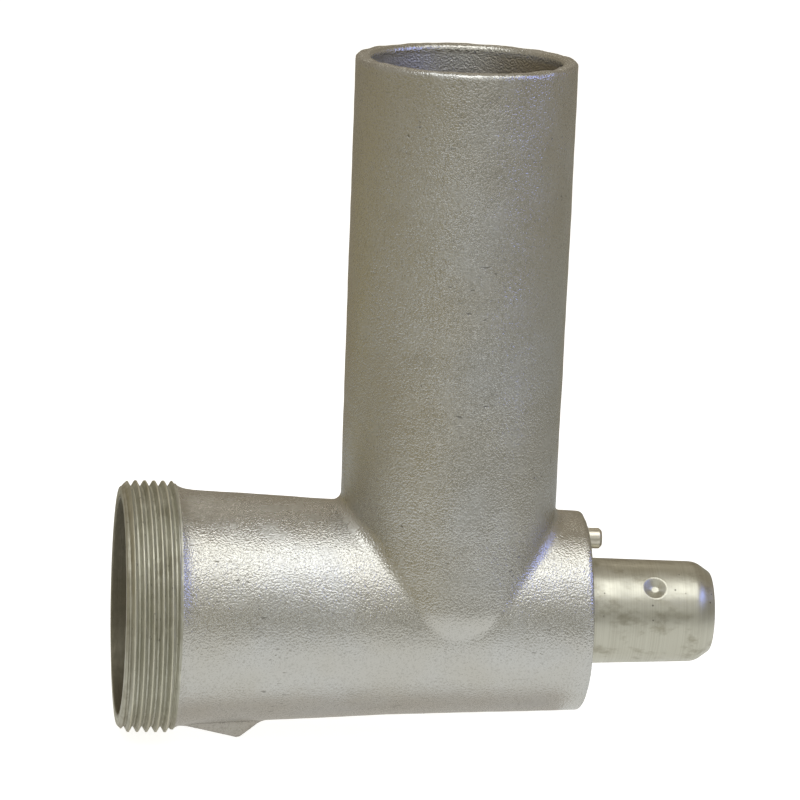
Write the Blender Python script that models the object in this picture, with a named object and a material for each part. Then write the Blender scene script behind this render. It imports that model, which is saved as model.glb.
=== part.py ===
"""Mincer head, size 12, for a motor unit with a round hub.

X runs along the barrel: the mouth faces -X and the hub spigot points to +X.
Z is up, along the feed neck. The origin is on the barrel's axis, at the rear
face of the housing, where the spigot leaves it.
"""
import math

import bmesh
import bpy
from mathutils import Matrix, Vector

MM = 0.001
GAP = 0.3 * MM                  # clearance between pieces that touch or fit

# Overall lengths along the barrel, measured from the rear face
BARREL_LENGTH = 152.7 * MM
THREAD_LENGTH = 17.8 * MM
SPIGOT_LENGTH = 42.1 * MM
NECK_HEIGHT = 182.1 * MM        # barrel axis to the rim of the feed neck
NECK_SETBACK = 46.0 * MM        # rear face to the axis of the feed neck

# Barrel, outside
FRONT_STEP = 2.3 * MM           # thread's crest down to the barrel just behind it
REAR_RADIUS = 32.2 * MM
REAR_EDGE = 4.0 * MM            # rounding of the rear edge
TAPER_LENGTH = 70.9 * MM        # quick taper behind the thread
TAPER_DROP = 4.0 * MM
THREAD_RADIUS = 41.0 * MM       # crest of M82 x 3
THREAD_PITCH = 3.0 * MM
THREAD_DEPTH = 1.84 * MM
THREAD_FLAT = THREAD_PITCH / 8  # crest, and the gap between ridges at the root
THREAD_FADE = 0.25              # turns over which the ridge rises and dies away
MOUTH_CHAMFER = 1.1 * MM

# Barrel, inside
MOUTH_WALL = 4.06 * MM          # thread's root to the plate seat, which takes a 70 mm plate
SEAT_DEPTH = 9.0 * MM
FRONT_WALL = 5.4 * MM           # bore wall just behind the thread
REAR_BORE_WALL = 5.0 * MM
REAR_WALL = 9.0 * MM            # end wall that carries the spigot
RIB_COUNT = 6
RIB_HEIGHT = 1.2 * MM
RIB_RAMP = 4.0 * MM
RIB_ANGLE = 4.0                 # half of a rib's width, in degrees round the bore
RIB_TOP_SHARE = 0.6             # width of a rib's top as a share of its base

# Feed neck
NECK_RADIUS = 35.0 * MM         # at the barrel
NECK_TOP_RADIUS = 35.8 * MM
NECK_WALL = 5.0 * MM
NECK_TIP = 3.3 * MM             # how far the neck's casting reaches below the axis
RIM_EDGE = 1.4 * MM

# Foot lug under the thread
FOOT_HEIGHT = 4.75 * MM         # barrel to the foot's lowest edge
FOOT_WIDTH = 15.0 * MM
FOOT_SETBACK = 5.1 * MM         # thread to the foot's front end
FOOT_RAMP = 17.0 * MM           # front end to the lowest edge
FOOT_HEEL = 6.5 * MM            # lowest edge to the rear end

# Hub spigot
SPIGOT_RADIUS = 17.4 * MM
SPIGOT_END_RADIUS = 16.45 * MM
SPIGOT_CHAMFER_LENGTH = 5.0 * MM
SPIGOT_CHAMFER_DEPTH = 3.5 * MM
FLANGE_RADIUS = 22.0 * MM
FLANGE_THICKNESS = 3.0 * MM
DIMPLE_SETBACK = 21.7 * MM
DIMPLE_ANGLE = 41.0             # degrees above the horizontal
DIMPLE_RADIUS = 4.0 * MM
DIMPLE_FLAT = 1.2 * MM
DIMPLE_DEPTH = 1.7 * MM

# Pins that locate the head and the cutting plate
LOCATING_PIN_RADIUS = 3.4 * MM
LOCATING_PIN_HEIGHT = 24.4 * MM
LOCATING_PIN_REACH = 5.1 * MM
LOCATING_PIN_DEPTH = 6.5 * MM
KEY_RADIUS = 1.7 * MM
KEY_REACH = 2.8 * MM
KEY_SEATING = 3.0 * MM

# Drive shank, its bushes and seal
SHANK_RADIUS = 8.0 * MM
SHANK_RECESS = 6.0 * MM         # spigot end to shank end
SHANK_INSERT = 30.0 * MM        # length held in the worm
SLOT_WIDTH = 7.5 * MM
SLOT_DEPTH = 9.0 * MM
SEAL_LENGTH = 4.0 * MM
BUSH_WALL = 2.4 * MM
INNER_BUSH_LENGTH = 16.0 * MM
OUTER_BUSH_LENGTH = 12.0 * MM
WASHER_RADIUS = 20.0 * MM
WASHER_THICKNESS = 2.0 * MM
SHANK_PIN_RADIUS = 2.0 * MM
SHANK_PIN_SETBACK = 15.0 * MM   # from the worm's rear face

# Feed worm
WORM_PITCH_FRONT = 30.0 * MM
WORM_PITCH_REAR = 44.0 * MM
WORM_CLEARANCE = 0.9 * MM
WORM_CORE_FRONT = 15.0 * MM
WORM_CORE_REAR = 11.5 * MM
FLIGHT_TIP = 4.0 * MM
FLIGHT_ROOT = 9.0 * MM
FLIGHT_SUNK = 1.5 * MM          # depth of the flight's base inside the core
KNIFE_SPACE = 10.0 * MM         # behind the plate, for the knife

# Stud that drives the knife and centres the plate
STUD_SQUARE = 10.0 * MM
STUD_PIN_RADIUS = 4.0 * MM
STUD_RECESS = 3.4 * MM          # mouth face to stud tip
STUD_SHANK_RADIUS = 5.0 * MM
STUD_INSERT = 16.0 * MM

# Edges and the reach of cutters past what they cut
PIN_CHAMFER = 0.8 * MM
FINE_CHAMFER = 0.3 * MM
RING_CHAMFER = 0.4 * MM
SHANK_CHAMFER = 0.6 * MM
PAST = 1.0 * MM
SUNK = 0.3 * MM                 # depth of a ridge's base inside the body that carries it

ROUND = 48                      # sides of the large round forms
SMALL_ROUND = 24
PIN_ROUND = 16
ARC_STEPS = 5                   # sides of the bore between two ribs
SHARP_ANGLE = 32.0              # edges sharper than this, in degrees, stay crisp
THREAD_STEPS = 36               # sections in one turn of the thread
FLIGHT_STEPS = 28               # sections in one turn of the worm's flight

# Places that follow from the sizes above
MOUTH_X = -BARREL_LENGTH
THREAD_END_X = MOUTH_X + THREAD_LENGTH
THREAD_ROOT = THREAD_RADIUS - THREAD_DEPTH
FRONT_RADIUS = THREAD_RADIUS - FRONT_STEP
SEAT_RADIUS = THREAD_ROOT - MOUTH_WALL
TAPER_END_X = THREAD_END_X + TAPER_LENGTH
TAPER_END_RADIUS = FRONT_RADIUS - TAPER_DROP
SEAT_X = MOUTH_X + SEAT_DEPTH
REAR_WALL_X = -REAR_WALL
FRONT_BORE = FRONT_RADIUS - FRONT_WALL
REAR_BORE = REAR_RADIUS - REAR_BORE_WALL
NECK_X = -NECK_SETBACK
NECK_BORE = NECK_TOP_RADIUS - NECK_WALL
BUSH_BORE = SHANK_RADIUS + GAP
BUSH_RADIUS = BUSH_BORE + BUSH_WALL
SPIGOT_BORE = BUSH_RADIUS + GAP
FLANGE_X = REAR_WALL_X - GAP
FLANGE_INNER_X = FLANGE_X - FLANGE_THICKNESS
WASHER_X = FLANGE_INNER_X - GAP
WORM_REAR_X = WASHER_X - WASHER_THICKNESS - GAP
WORM_FRONT_X = SEAT_X + KNIFE_SPACE
SHANK_END_X = SPIGOT_LENGTH - SHANK_RECESS
STUD_TIP_X = MOUTH_X + STUD_RECESS


def clear_scene():
    """Remove every object that is already in the file."""
    for item in list(bpy.data.objects):
        bpy.data.objects.remove(item, do_unlink=True)


def make_material(name, color, roughness, metallic):
    """A Principled material with one colour."""
    material = bpy.data.materials.new(name)
    material.use_nodes = True
    shader = material.node_tree.nodes["Principled BSDF"]
    shader.inputs["Base Color"].default_value = (*color, 1.0)
    shader.inputs["Roughness"].default_value = roughness
    shader.inputs["Metallic"].default_value = metallic
    return material


def add_object(name, bm, material=None):
    """Turn a bmesh into a linked object with outward faces."""
    bmesh.ops.recalc_face_normals(bm, faces=bm.faces)
    mesh = bpy.data.meshes.new(name)
    bm.to_mesh(mesh)
    bm.free()
    mesh.shade_smooth()
    mesh.set_sharp_from_angle(angle=math.radians(SHARP_ANGLE))
    item = bpy.data.objects.new(name, mesh)
    bpy.context.scene.collection.objects.link(item)
    if material:
        mesh.materials.append(material)
    return item


def turn(profile, steps=ROUND, closed=True):
    """Spin an (x, radius) profile about the X axis; an open one ends on the axis."""
    bm = bmesh.new()
    verts = [bm.verts.new((x, 0, radius)) for x, radius in profile]
    pairs = list(zip(verts, verts[1:]))
    if closed:
        pairs.append((verts[-1], verts[0]))
    edges = [bm.edges.new(pair) for pair in pairs]
    bmesh.ops.spin(bm, geom=verts + edges, cent=(0, 0, 0), axis=(1, 0, 0),
                   angle=math.tau, steps=steps, use_merge=True)
    bmesh.ops.remove_doubles(bm, verts=bm.verts, dist=1e-6)
    return bm


def ring(x_low, x_high, bore, radius, chamfer, steps=ROUND):
    """A plain ring along X with its outer edges chamfered."""
    return turn([(x_low, bore), (x_low, radius - chamfer), (x_low + chamfer, radius),
                 (x_high - chamfer, radius), (x_high, radius - chamfer), (x_high, bore)], steps)


def rod(x_low, x_high, radius, chamfer, steps=SMALL_ROUND):
    """A solid rod along X, with chamfered ends unless the chamfer is 0."""
    if chamfer == 0:
        return turn([(x_low, 0), (x_low, radius), (x_high, radius), (x_high, 0)], steps, closed=False)
    return turn([(x_low, 0), (x_low, radius - chamfer), (x_low + chamfer, radius),
                 (x_high - chamfer, radius), (x_high, radius - chamfer), (x_high, 0)], steps, closed=False)


def box(low, high):
    """An axis-aligned block between two corners."""
    bm = bmesh.new()
    bmesh.ops.create_cube(bm, size=1.0)
    low, high = Vector(low), Vector(high)
    bmesh.ops.scale(bm, vec=high - low, verts=bm.verts)
    bmesh.ops.translate(bm, vec=(low + high) / 2, verts=bm.verts)
    return bm


def cutter(name, bm, matrix=None):
    """An object that only shapes others."""
    item = add_object(name, bm)
    item.hide_render = True
    item.display_type = "WIRE"
    if matrix:
        item.matrix_world = matrix
    return item


def combine(item, other, operation):
    """Add an exact Boolean to an object."""
    modifier = item.modifiers.new(operation.title() + " " + other.name, "BOOLEAN")
    modifier.operation = operation
    modifier.solver = "EXACT"
    modifier.object = other


def ridge(turns, steps, section):
    """Sweep a section round the X axis; section(turn) gives its (x, radius) points."""
    bm = bmesh.new()
    count = round(turns * steps)
    rows = []
    for index in range(count + 1):
        angle = math.tau * index / steps
        points = section(index / steps)
        rows.append([bm.verts.new((x, -radius * math.sin(angle), radius * math.cos(angle)))
                     for x, radius in points])
    for row, following in zip(rows, rows[1:]):
        for side in range(len(row)):
            after = (side + 1) % len(row)
            bm.faces.new((row[side], row[after], following[after], following[side]))
    bm.faces.new(rows[0])
    bm.faces.new(reversed(rows[-1]))
    return bm


def barrel_radius(x):
    """Outside radius of the plain barrel at x."""
    if x < TAPER_END_X:
        share = (x - THREAD_END_X) / TAPER_LENGTH
        return FRONT_RADIUS + (TAPER_END_RADIUS - FRONT_RADIUS) * share
    share = (x - TAPER_END_X) / -TAPER_END_X
    return TAPER_END_RADIUS + (REAR_RADIUS - TAPER_END_RADIUS) * share


def bore_radius(x):
    """Inside radius of the barrel at x, between the plate seat and the rear wall."""
    share = (x - SEAT_X) / (REAR_WALL_X - SEAT_X)
    return FRONT_BORE + (REAR_BORE - FRONT_BORE) * share


def thread_section(turn_number):
    """Thread ridge at one point of its helix; it fades in and out at the ends."""
    fade = min(1.0, turn_number / THREAD_FADE, (thread_turns() - turn_number) / THREAD_FADE)
    centre = MOUTH_X + MOUTH_CHAMFER + THREAD_PITCH * turn_number
    crest = THREAD_ROOT - SUNK / 2 + (THREAD_DEPTH + SUNK / 2) * fade
    half_crest = THREAD_FLAT / 2
    half_root = (THREAD_PITCH - THREAD_FLAT) / 2
    start = max(centre - half_root, MOUTH_X + SUNK / 3)
    return [(start, THREAD_ROOT - SUNK), (centre - half_crest, crest),
            (centre + half_crest, crest), (centre + half_root, THREAD_ROOT - SUNK)]


def thread_turns():
    """Turns of thread that fit between the mouth and the barrel behind it, in whole fades."""
    room = THREAD_LENGTH - MOUTH_CHAMFER - (THREAD_PITCH - THREAD_FLAT) / 2
    return math.floor(room / THREAD_PITCH / THREAD_FADE) * THREAD_FADE


def barrel_outside():
    """Barrel with the thread's root cylinder, chamfered mouth and rounded rear edge."""
    profile = [(MOUTH_X, 0), (MOUTH_X, THREAD_ROOT - MOUTH_CHAMFER), (MOUTH_X + MOUTH_CHAMFER, THREAD_ROOT),
               (THREAD_END_X, THREAD_ROOT), (THREAD_END_X + THREAD_ROOT - FRONT_RADIUS, FRONT_RADIUS),
               (TAPER_END_X, TAPER_END_RADIUS)]
    profile += [(-REAR_EDGE + REAR_EDGE * math.sin(math.radians(angle)),
                 REAR_RADIUS - REAR_EDGE + REAR_EDGE * math.cos(math.radians(angle)))
                for angle in (0, 30, 60, 90)]
    profile.append((0, 0))
    return turn(profile, closed=False)


def neck_outside():
    """Feed neck, from its tip below the barrel's axis up to the rim."""
    height = NECK_HEIGHT + NECK_TIP
    bm = turn([(0, 0), (0, NECK_RADIUS - NECK_TIP), (NECK_TIP, NECK_RADIUS),
               (height - RIM_EDGE, NECK_TOP_RADIUS), (height, NECK_TOP_RADIUS - RIM_EDGE),
               (height, 0)], closed=False)
    upright = Matrix.Translation((NECK_X, 0, -NECK_TIP)) @ Matrix.Rotation(-math.pi / 2, 4, "Y")
    bmesh.ops.transform(bm, matrix=upright, verts=bm.verts)
    return bm


def foot_block():
    """Wedge under the barrel, lowest near its rear end."""
    start = THREAD_END_X + FOOT_SETBACK
    low = start + FOOT_RAMP
    end = low + FOOT_HEEL
    top = barrel_radius(end) - FRONT_WALL / 2
    outline = [(start, -top), (end, -top), (end, -barrel_radius(end)),
               (low, -barrel_radius(low) - FOOT_HEIGHT), (start, -barrel_radius(start))]
    bm = bmesh.new()
    verts = [bm.verts.new((x, -FOOT_WIDTH / 2, z)) for x, z in outline]
    face = bm.faces.new(verts)
    grown = bmesh.ops.extrude_face_region(bm, geom=[face])
    moved = [part for part in grown["geom"] if isinstance(part, bmesh.types.BMVert)]
    bmesh.ops.translate(bm, vec=(0, FOOT_WIDTH, 0), verts=moved)
    return bm


def bore_cutter():
    """Space inside the barrel: plate seat, then a tapering bore with low ribs along it."""
    bm = bmesh.new()
    gap_angle = 360 / RIB_COUNT

    def section(x, radius, rib):
        points = []
        for number in range(RIB_COUNT):
            centre = gap_angle * (number + 0.5)
            for step in range(ARC_STEPS + 1):
                reach = (gap_angle - 2 * RIB_ANGLE) * step / ARC_STEPS
                points.append((radius, math.radians(centre + RIB_ANGLE + reach)))
            for offset in (-RIB_ANGLE * RIB_TOP_SHARE, RIB_ANGLE * RIB_TOP_SHARE):
                points.append((radius - rib, math.radians(centre + gap_angle + offset)))
        return [bm.verts.new((x, r * math.cos(a), r * math.sin(a))) for r, a in points]

    rows = [section(MOUTH_X - PAST, SEAT_RADIUS, 0), section(SEAT_X, SEAT_RADIUS, 0),
            section(SEAT_X, bore_radius(SEAT_X), 0),
            section(WORM_FRONT_X - RIB_RAMP, bore_radius(WORM_FRONT_X - RIB_RAMP), 0),
            section(WORM_FRONT_X, bore_radius(WORM_FRONT_X), RIB_HEIGHT),
            section(REAR_WALL_X, REAR_BORE, RIB_HEIGHT)]
    for row, following in zip(rows, rows[1:]):
        for side in range(len(row)):
            after = (side + 1) % len(row)
            bm.faces.new((row[side], following[side], following[after], row[after]))
    bm.faces.new(rows[0])
    bm.faces.new(reversed(rows[-1]))
    return bm


def neck_cutter():
    """Bore of the feed neck, down to the barrel's axis."""
    height = NECK_HEIGHT
    bm = turn([(0, 0), (0, NECK_BORE), (height - RIM_EDGE, NECK_BORE),
               (height + PAST, NECK_BORE + RIM_EDGE + PAST), (height + PAST, 0)], closed=False)
    upright = Matrix.Translation((NECK_X, 0, 0)) @ Matrix.Rotation(-math.pi / 2, 4, "Y")
    bmesh.ops.transform(bm, matrix=upright, verts=bm.verts)
    return bm


def make_housing(material):
    """The casting: barrel, feed neck and foot, with the thread cut round the mouth."""
    housing = add_object("housing", barrel_outside(), material)
    thread = ridge(thread_turns(), THREAD_STEPS, thread_section)
    combine(housing, cutter("cut_thread", thread), "UNION")
    combine(housing, cutter("cut_neck_outside", neck_outside()), "UNION")
    combine(housing, cutter("cut_foot", foot_block()), "UNION")
    combine(housing, cutter("cut_bore", bore_cutter()), "DIFFERENCE")
    combine(housing, cutter("cut_neck_bore", neck_cutter()), "DIFFERENCE")
    pin_hole = rod(-LOCATING_PIN_DEPTH - GAP, 2 * PAST, LOCATING_PIN_RADIUS + GAP, 0)
    bmesh.ops.translate(pin_hole, vec=(0, 0, LOCATING_PIN_HEIGHT), verts=pin_hole.verts)
    combine(housing, cutter("cut_pin_hole", pin_hole), "DIFFERENCE")
    key_hole = rod(SEAT_RADIUS - PAST, SEAT_RADIUS + KEY_SEATING + GAP, KEY_RADIUS + GAP, 0, PIN_ROUND)
    combine(housing, cutter("cut_key_hole", key_hole, key_place()), "DIFFERENCE")
    hole = rod(REAR_WALL_X - PAST, PAST, SPIGOT_RADIUS + GAP, 0, ROUND)
    combine(housing, cutter("cut_spigot_hole", hole), "DIFFERENCE")
    return housing


def key_place():
    """Turns a rod along X into one that points down, in the middle of the plate seat."""
    return Matrix.Translation(((MOUTH_X + SEAT_X) / 2, 0, 0)) @ Matrix.Rotation(math.pi / 2, 4, "Y")


def make_spigot(material):
    """Turned hub spigot with an inner flange, held by the rear wall."""
    cone_end = SPIGOT_LENGTH - SPIGOT_CHAMFER_LENGTH
    bm = turn([(FLANGE_INNER_X, SPIGOT_BORE), (FLANGE_INNER_X, FLANGE_RADIUS), (FLANGE_X, FLANGE_RADIUS),
               (FLANGE_X, SPIGOT_RADIUS), (0, SPIGOT_RADIUS), (cone_end, SPIGOT_END_RADIUS),
               (SPIGOT_LENGTH, SPIGOT_END_RADIUS - SPIGOT_CHAMFER_DEPTH), (SPIGOT_LENGTH, SPIGOT_BORE)])
    spigot = add_object("mounting_spigot", bm, material)
    share = DIMPLE_SETBACK / cone_end
    surface = SPIGOT_RADIUS + (SPIGOT_END_RADIUS - SPIGOT_RADIUS) * share
    slope = (DIMPLE_RADIUS - DIMPLE_FLAT) / DIMPLE_DEPTH
    bottom, top = surface - DIMPLE_DEPTH, surface + PAST
    cone = turn([(bottom, 0), (bottom, DIMPLE_FLAT), (top, DIMPLE_RADIUS + slope * PAST), (top, 0)],
                SMALL_ROUND, closed=False)
    aim = Matrix.Translation((DIMPLE_SETBACK, 0, 0)) @ Matrix.Rotation(
        math.radians(180 - DIMPLE_ANGLE), 4, "X") @ Matrix.Rotation(math.pi / 2, 4, "Z")
    combine(spigot, cutter("cut_dimple", cone, aim), "DIFFERENCE")
    return spigot


def make_locating_pin(material):
    """Dowel in the rear face that stops the head turning on its hub."""
    bm = rod(-LOCATING_PIN_DEPTH, LOCATING_PIN_REACH, LOCATING_PIN_RADIUS, PIN_CHAMFER)
    bmesh.ops.translate(bm, vec=(0, 0, LOCATING_PIN_HEIGHT), verts=bm.verts)
    return add_object("locating_pin", bm, material)


def make_plate_key(material):
    """Short pin in the plate seat that engages the plate's notch."""
    bm = rod(SEAT_RADIUS - KEY_REACH, SEAT_RADIUS + KEY_SEATING, KEY_RADIUS, FINE_CHAMFER, PIN_ROUND)
    bmesh.ops.transform(bm, matrix=key_place(), verts=bm.verts)
    return add_object("plate_key", bm, material)


def make_shank_bearings(bronze, rubber, nylon):
    """Lip seal, two bushes and the thrust washer, in line along the shank."""
    chamfer = RING_CHAMFER
    seal_end = FLANGE_INNER_X + SEAL_LENGTH
    add_object("shank_seal", ring(FLANGE_INNER_X, seal_end, BUSH_BORE, BUSH_RADIUS, chamfer), rubber)
    bush_start = seal_end + GAP
    inner = ring(bush_start, bush_start + INNER_BUSH_LENGTH, BUSH_BORE, BUSH_RADIUS, chamfer)
    add_object("shank_bush_inner", inner, bronze)
    outer_end = SHANK_END_X - GAP
    outer = ring(outer_end - OUTER_BUSH_LENGTH, outer_end, BUSH_BORE, BUSH_RADIUS, chamfer)
    add_object("shank_bush_outer", outer, bronze)
    washer = ring(WASHER_X - WASHER_THICKNESS, WASHER_X, BUSH_BORE, WASHER_RADIUS, chamfer)
    add_object("thrust_washer", washer, nylon)


def worm_core_radius(x):
    """Core radius of the worm at x: thicker towards the knife."""
    share = (x - WORM_REAR_X) / (WORM_FRONT_X - WORM_REAR_X)
    return WORM_CORE_REAR + (WORM_CORE_FRONT - WORM_CORE_REAR) * share


def worm_turns():
    """Turns of flight along the worm, at its mean pitch."""
    length = WORM_REAR_X - WORM_FRONT_X - FLIGHT_ROOT
    return length / ((WORM_PITCH_FRONT + WORM_PITCH_REAR) / 2)


def flight_section(turn_number):
    """Flight at one point: a tapered rib that follows the bore, with the pitch growing to the rear."""
    turns = worm_turns()
    share = turn_number / turns
    start = WORM_FRONT_X + FLIGHT_ROOT / 2
    growth = (WORM_PITCH_REAR - WORM_PITCH_FRONT) / 2
    centre = start + turn_number * (WORM_PITCH_FRONT + growth * share)
    tip = bore_radius(centre) - RIB_HEIGHT - WORM_CLEARANCE
    root = worm_core_radius(centre) - FLIGHT_SUNK
    return [(centre - FLIGHT_ROOT / 2, root), (centre - FLIGHT_TIP / 2, tip),
            (centre + FLIGHT_TIP / 2, tip), (centre + FLIGHT_ROOT / 2, root)]


def make_worm(material):
    """Feed worm: core, one helical flight, and bores for the shank and the knife stud."""
    core = turn([(WORM_FRONT_X, 0), (WORM_FRONT_X, WORM_CORE_FRONT), (WORM_REAR_X, WORM_CORE_REAR),
                 (WORM_REAR_X, 0)], SMALL_ROUND, closed=False)
    worm = add_object("feed_worm", core, material)
    steps = round(worm_turns() * FLIGHT_STEPS) / worm_turns()
    combine(worm, cutter("cut_flight", ridge(worm_turns(), steps, flight_section)), "UNION")
    shank_bore = rod(WORM_REAR_X - SHANK_INSERT - GAP, WORM_REAR_X + PAST, SHANK_RADIUS + GAP, 0)
    combine(worm, cutter("cut_shank_bore", shank_bore), "DIFFERENCE")
    stud_bore = rod(WORM_FRONT_X - PAST, WORM_FRONT_X + STUD_INSERT + GAP, STUD_SHANK_RADIUS + GAP, 0)
    combine(worm, cutter("cut_stud_bore", stud_bore), "DIFFERENCE")
    combine(worm, cutter("cut_worm_pin", pin_hole_solid(), shank_pin_place()), "DIFFERENCE")
    return worm


def pin_half_length():
    """Half the length of the cross pin, just inside the worm's core."""
    return worm_core_radius(WORM_REAR_X - SHANK_PIN_SETBACK) - GAP


def pin_hole_solid():
    """Cutter for the cross pin's hole, longer than the core is thick."""
    reach = pin_half_length() + 2 * PAST
    return rod(-reach, reach, SHANK_PIN_RADIUS + GAP, 0, PIN_ROUND)


def shank_pin_place():
    """Lays a rod along X across the shank."""
    return Matrix.Translation((WORM_REAR_X - SHANK_PIN_SETBACK, 0, 0)) @ Matrix.Rotation(math.pi / 2, 4, "Z")


def make_shank(material):
    """Drive shank with a slot across its outer end."""
    blank = rod(WORM_REAR_X - SHANK_INSERT, SHANK_END_X, SHANK_RADIUS, SHANK_CHAMFER)
    shank = add_object("drive_shank", blank, material)
    slot = box((SHANK_END_X - SLOT_DEPTH, -SLOT_WIDTH / 2, -SHANK_RADIUS - PAST),
               (SHANK_END_X + PAST, SLOT_WIDTH / 2, SHANK_RADIUS + PAST))
    combine(shank, cutter("cut_slot", slot), "DIFFERENCE")
    combine(shank, cutter("cut_shank_pin", pin_hole_solid(), shank_pin_place()), "DIFFERENCE")
    return shank


def make_shank_pin(material):
    """Cross pin through the worm and the shank."""
    half = pin_half_length()
    bm = rod(-half, half, SHANK_PIN_RADIUS, FINE_CHAMFER, PIN_ROUND)
    bmesh.ops.transform(bm, matrix=shank_pin_place(), verts=bm.verts)
    return add_object("shank_pin", bm, material)


def make_stud(material):
    """Knife stud: round shank in the worm, square for the knife, round pin for the plate."""
    square_start = WORM_FRONT_X - GAP
    shank = rod(square_start - 2 * PAST, WORM_FRONT_X + STUD_INSERT, STUD_SHANK_RADIUS, RING_CHAMFER)
    stud = add_object("knife_stud", shank, material)
    half = STUD_SQUARE / 2
    square = box((SEAT_X - PAST, -half, -half), (square_start, half, half))
    combine(stud, cutter("cut_square", square), "UNION")
    pin = rod(STUD_TIP_X, SEAT_X + 2 * PAST, STUD_PIN_RADIUS, PIN_CHAMFER)
    combine(stud, cutter("cut_stud_pin", pin), "UNION")
    return stud


def main():
    """Build every piece."""
    clear_scene()
    tinned = make_material("tinned_iron", (0.62, 0.61, 0.58), 0.38, 1.0)
    steel = make_material("machined_steel", (0.60, 0.60, 0.61), 0.3, 1.0)
    bronze = make_material("bronze", (0.55, 0.36, 0.16), 0.35, 1.0)
    rubber = make_material("seal_rubber", (0.03, 0.03, 0.03), 0.6, 0.0)
    nylon = make_material("washer_nylon", (0.75, 0.72, 0.62), 0.45, 0.0)
    make_housing(tinned)
    make_spigot(steel)
    make_locating_pin(steel)
    make_plate_key(steel)
    make_shank_bearings(bronze, rubber, nylon)
    make_worm(tinned)
    make_shank(steel)
    make_shank_pin(steel)
    make_stud(steel)


main()
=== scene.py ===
"""Looks for the mincer head: a cast and tinned housing, its machined parts and a studio."""
import math

import bmesh
import bpy
import numpy as np
from mathutils import Euler, Matrix, Vector


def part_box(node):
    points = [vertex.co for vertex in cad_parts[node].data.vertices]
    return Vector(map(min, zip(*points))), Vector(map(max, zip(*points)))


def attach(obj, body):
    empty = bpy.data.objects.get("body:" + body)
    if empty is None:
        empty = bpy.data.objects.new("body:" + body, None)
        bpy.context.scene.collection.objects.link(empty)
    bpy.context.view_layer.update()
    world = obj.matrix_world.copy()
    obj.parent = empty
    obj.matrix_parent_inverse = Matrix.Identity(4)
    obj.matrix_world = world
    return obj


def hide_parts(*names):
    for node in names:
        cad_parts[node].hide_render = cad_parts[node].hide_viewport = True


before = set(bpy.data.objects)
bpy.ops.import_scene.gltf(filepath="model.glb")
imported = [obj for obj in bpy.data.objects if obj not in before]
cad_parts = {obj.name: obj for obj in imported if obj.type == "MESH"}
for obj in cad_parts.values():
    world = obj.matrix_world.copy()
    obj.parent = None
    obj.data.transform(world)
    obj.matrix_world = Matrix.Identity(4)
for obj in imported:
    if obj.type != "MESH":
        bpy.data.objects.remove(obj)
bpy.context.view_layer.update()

MM = 0.001


def corners(node):
    """Lowest and highest corner of a CAD node, in millimetres."""
    low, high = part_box(node)
    return np.array(low) / MM, np.array(high) / MM


# Sizes below are in millimetres, in the frame of the CAD model
HOUSING_LOW, HOUSING_HIGH = corners("housing")
SPIGOT_LOW, SPIGOT_HIGH = corners("mounting_spigot")
PIN_LOW, PIN_HIGH = corners("locating_pin")
KEY_LOW, KEY_HIGH = corners("plate_key")
WORM_LOW, WORM_HIGH = corners("feed_worm")
SHANK_LOW, SHANK_HIGH = corners("drive_shank")
CROSS_LOW, CROSS_HIGH = corners("shank_pin")
STUD_LOW, STUD_HIGH = corners("knife_stud")
WASHER_LOW, WASHER_HIGH = corners("thrust_washer")
SEAL_LOW, SEAL_HIGH = corners("shank_seal")
INNER_LOW, INNER_HIGH = corners("shank_bush_inner")
OUTER_LOW, OUTER_HIGH = corners("shank_bush_outer")

# The machined mouth and its thread
MOUTH_X = HOUSING_LOW[0]
THREAD_RADIUS = HOUSING_HIGH[1]
THREAD_PITCH = 3.0
THREAD_DEPTH = 1.84
THREAD_END = MOUTH_X + 17.8
MACHINED_END = THREAD_END + 0.15
SHELL_FRONT = THREAD_END - 2.0          # the casting's front end, under the machined mouth
SHELL_STEP_RADIUS = 37.2                # the casting's outside there
SEAT_RADIUS = 35.1
SEAT_X = MOUTH_X + 9.0

# The barrel, outside and inside
FRONT_RADIUS = 38.4
FLARE = 1.6
FLARE_REACH = 2.0
TAPER_END = THREAD_END + 70.9
TAPER_RADIUS = 34.7
REAR_RADIUS = 32.7
REAR_X = -0.9
REAR_EDGE = 1.4
REAR_WALL_X = -9.0
FRONT_BORE = 33.3
REAR_BORE = 27.2
RIB_COUNT = 6
RIB_HEIGHT = 1.2

# The feed neck, and its tip that shows on the barrel's side
RIM_Z = HOUSING_HIGH[2]
NECK_X = -46.0
NECK_RADIUS = 35.0
NECK_TOP_RADIUS = 35.8
NECK_BORE = NECK_TOP_RADIUS - 5.0
TIP_TOP = 8.0
TIP_RADIUS = 20.0
TIP_SWELL = 1.2

# The foot
FOOT_Z = HOUSING_LOW[2]
FOOT_DROP = 0.25                        # how far the foot's edge lies lower, before rounding
FOOT_LOW_X = THREAD_END + 22.1
FOOT_RAMP = math.atan2(3.8, 17.0)
FOOT_HEEL = math.atan2(5.1, 6.5)
FOOT_HALF_WIDTH = 7.5

# The spigot, its clamp dimple and the locating pin
SPIGOT_HOLE = 17.6
SPIGOT_RADIUS = 17.4
SPIGOT_END_RADIUS = 16.45
SPIGOT_BORE = 11.0
DIMPLE_X = 21.7
DIMPLE_ANGLE = math.radians(90 - 41)
PIN_Z = (PIN_LOW[2] + PIN_HIGH[2]) / 2
PIN_HOLE = (PIN_HIGH[2] - PIN_LOW[2]) / 2 + 0.25

# The worm and what holds it
PITCH_FRONT = 30.0
PITCH_REAR = 44.0
FLIGHT_ROOT = 9.0
FLIGHT_TIP = 4.0
WORM_CLEARANCE = 0.9
BEARING_BORE = 8.3
CROSS_X = (CROSS_LOW[0] + CROSS_HIGH[0]) / 2

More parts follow.
